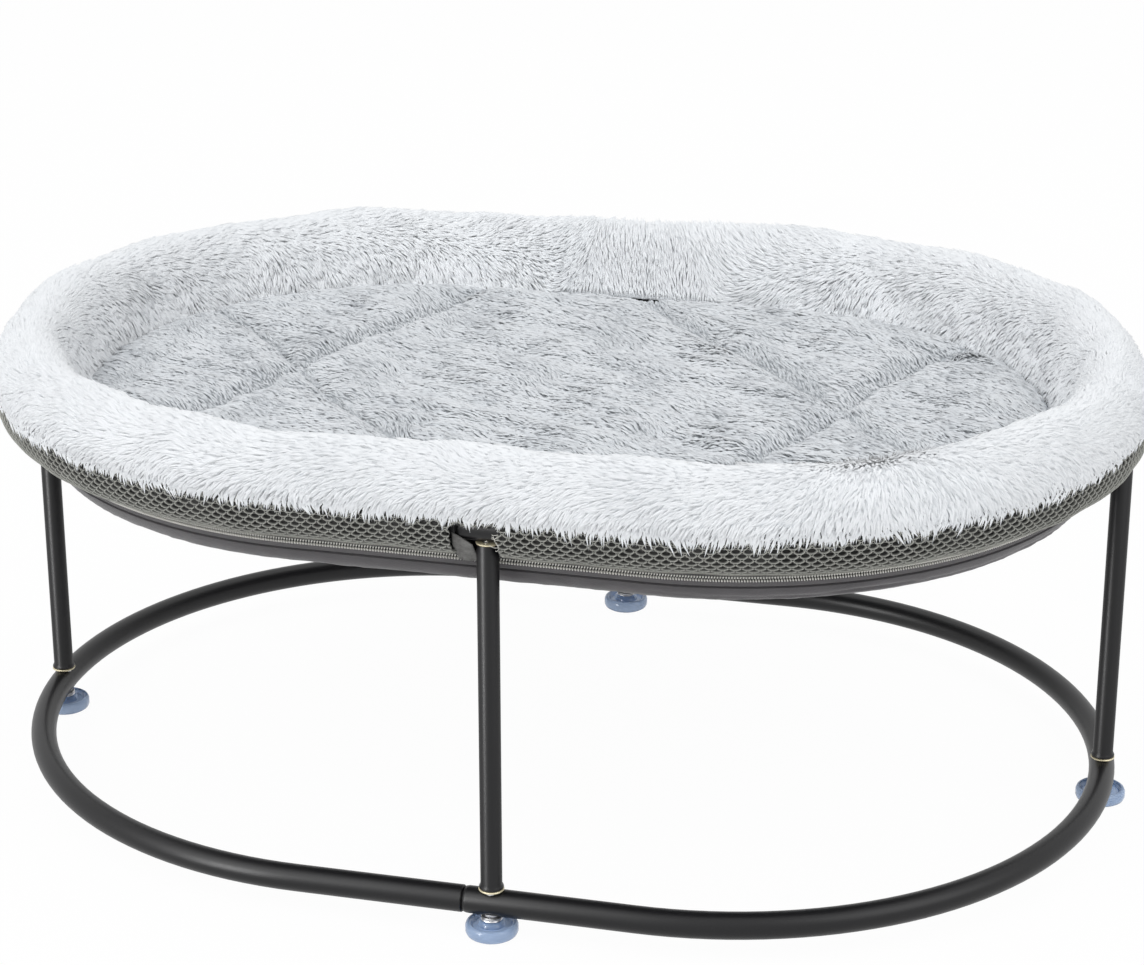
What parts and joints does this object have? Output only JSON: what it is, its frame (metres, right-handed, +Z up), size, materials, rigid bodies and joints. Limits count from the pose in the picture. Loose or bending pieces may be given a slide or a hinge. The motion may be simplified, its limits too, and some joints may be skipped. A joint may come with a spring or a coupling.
{
  "type": "raised oval cat bed",
  "caption": "Open raised oval pet bed: plush bolster and quilted pad in a zipped mesh-sided bag on an oval tube stand with levelling feet.",
  "frame": {"origin": "on the floor, under the middle of the oval", "axes": "+X along the bed's length, -Y towards its front, +Z up"},
  "size_m": [0.626, 0.4496, 0.259],
  "materials": {
    "powder_coat": "satin black powder coat",
    "zinc": "bright zinc-plated steel",
    "pale_brass": "pale brass, satin",
    "clear_blue_pvc": "translucent blue moulded plastic",
    "plush": "long pale plush pile",
    "pad_plush": "plush pile, grey between the locks",
    "fibre": "white polyester fibre",
    "air_mesh": "olive grey spacer mesh with oval holes",
    "zip_tape": "woven zip tape",
    "zip_nylon": "nylon coil teeth",
    "zip_metal": "gunmetal zip slider",
    "suede": "grey violet brushed suede cloth"
  },
  "bodies": {
    "stand_and_bed": {"base_ring_left": "powder_coat", "base_ring_right": "powder_coat", "upper_ring_left": "powder_coat", "upper_ring_right": "powder_coat", "post_front": "powder_coat", "thread_bush_front": "zinc", "post_nut_front": "zinc", "low_washer_front": "pale_brass", "top_washer_front": "pale_brass", "top_screw_front": "zinc", "post_right": "powder_coat", "thread_bush_right": "zinc", "post_nut_right": "zinc", "low_washer_right": "pale_brass", "top_washer_right": "pale_brass", "top_screw_right": "zinc", "post_rear": "powder_coat", "thread_bush_rear": "zinc", "post_nut_rear": "zinc", "low_washer_rear": "pale_brass", "top_washer_rear": "pale_brass", "top_screw_rear": "zinc", "post_left": "powder_coat", "thread_bush_left": "zinc", "post_nut_left": "zinc", "low_washer_left": "pale_brass", "top_washer_left": "pale_brass", "top_screw_left": "zinc", "plush_bolster_cover": "plush", "bolster_filling": "fibre", "quilted_pad": "pad_plush", "mesh_side_band": "air_mesh", "zip_tape_upper": "zip_tape", "zip_tape_lower": "zip_tape", "zip_coil_upper": "zip_nylon", "zip_coil_lower": "zip_nylon", "bottom_panel": "suede"},
    "foot_stud_front": {"foot_stud_front": "zinc"},
    "foot_pad_front": {"foot_pad_front": "clear_blue_pvc"},
    "foot_stud_right": {"foot_stud_right": "zinc"},
    "foot_pad_right": {"foot_pad_right": "clear_blue_pvc"},
    "foot_stud_rear": {"foot_stud_rear": "zinc"},
    "foot_pad_rear": {"foot_pad_rear": "clear_blue_pvc"},
    "foot_stud_left": {"foot_stud_left": "zinc"},
    "foot_pad_left": {"foot_pad_left": "clear_blue_pvc"},
    "zip_slider": {"zip_slider": "zip_metal"},
    "zip_pull_tab": {"zip_pull_tab": "zip_metal"}
  },
  "joints": [
    {"name": "foot_front_travel", "type": "slide", "parent": "stand_and_bed", "child": "foot_stud_front", "axis": [0, 0, -1], "range_m": [0, 0.004]},
    {"name": "foot_front_turn", "type": "hinge", "parent": "foot_stud_front", "child": "foot_pad_front", "pos_m": [0.0146, -0.2113, 0.004], "axis": [0, 0, 1], "range_deg": [0, 1440]},
    {"name": "foot_right_travel", "type": "slide", "parent": "stand_and_bed", "child": "foot_stud_right", "axis": [0, 0, -1], "range_m": [0, 0.004]},
    {"name": "foot_right_turn", "type": "hinge", "parent": "foot_stud_right", "child": "foot_pad_right", "pos_m": [0.2995, 0.01459, 0.004], "axis": [0, 0, 1], "range_deg": [0, 1440]},
    {"name": "foot_rear_travel", "type": "slide", "parent": "stand_and_bed", "child": "foot_stud_rear", "axis": [0, 0, -1], "range_m": [0, 0.004]},
    {"name": "foot_rear_turn", "type": "hinge", "parent": "foot_stud_rear", "child": "foot_pad_rear", "pos_m": [-0.0146, 0.2113, 0.004], "axis": [0, 0, 1], "range_deg": [0, 1440]},
    {"name": "foot_left_travel", "type": "slide", "parent": "stand_and_bed", "child": "foot_stud_left", "axis": [0, 0, -1], "range_m": [0, 0.004]},
    {"name": "foot_left_turn", "type": "hinge", "parent": "foot_stud_left", "child": "foot_pad_left", "pos_m": [-0.2995, -0.01459, 0.004], "axis": [0, 0, 1], "range_deg": [0, 1440]},
    {"name": "zip_slide", "type": "slide", "parent": "stand_and_bed", "child": "zip_slider", "axis": [1, 0, 0], "range_m": [0, 0.07]},
    {"name": "pull_swing", "type": "hinge", "parent": "zip_slider", "child": "zip_pull_tab", "pos_m": [0.012, 0.20541, 0.19783], "axis": [0, -0.5299, -0.848], "range_deg": [-80, 80]}
  ],
  "couplings": [
    {"joint": "foot_front_travel", "follows": "foot_front_turn", "m_per_rad": 0.00015915},
    {"joint": "foot_right_travel", "follows": "foot_right_turn", "m_per_rad": 0.00015915},
    {"joint": "foot_rear_travel", "follows": "foot_rear_turn", "m_per_rad": 0.00015915},
    {"joint": "foot_left_travel", "follows": "foot_left_turn", "m_per_rad": 0.00015915}
  ]
}
